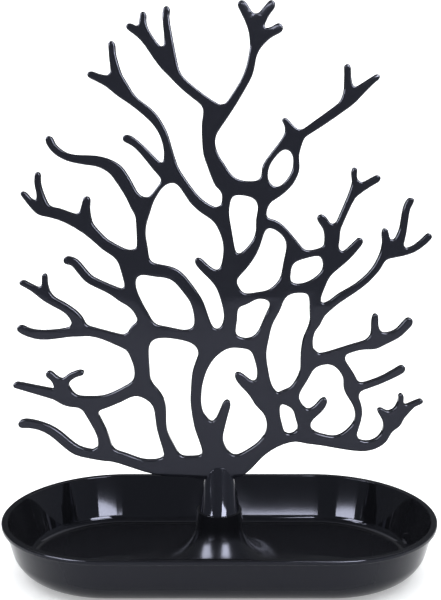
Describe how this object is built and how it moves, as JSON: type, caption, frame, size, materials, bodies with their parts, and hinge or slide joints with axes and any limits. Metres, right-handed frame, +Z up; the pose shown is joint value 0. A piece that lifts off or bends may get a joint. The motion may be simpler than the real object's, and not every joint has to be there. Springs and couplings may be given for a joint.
{
  "type": "jewelry stand",
  "caption": "Free-standing jewelry stand: a flat coral-shaped tree for hanging chains and earrings on a post in a shallow obround tray.",
  "frame": {"origin": "middle of the stand's footprint, level with the underside of its foot pads", "axes": "+Z up, X along the tray's length and across the flat tree, +Y from front to back"},
  "size_m": [0.24, 0.125, 0.3042],
  "materials": {
    "tray_plastic": "gloss",
    "tree_plastic": "semi-gloss",
    "pad_rubber": "matt"
  },
  "bodies": {
    "tray": {"tray": "tray_plastic", "foot_pad_1": "pad_rubber", "foot_pad_2": "pad_rubber", "foot_pad_3": "pad_rubber", "foot_pad_4": "pad_rubber"},
    "tree": {"coral_tree": "tree_plastic"}
  },
  "joints": [
    {"name": "tree_lift", "type": "slide", "parent": "tray", "child": "tree", "axis": [0, 0, 1], "range_m": [0, 0.03]}
  ]
}
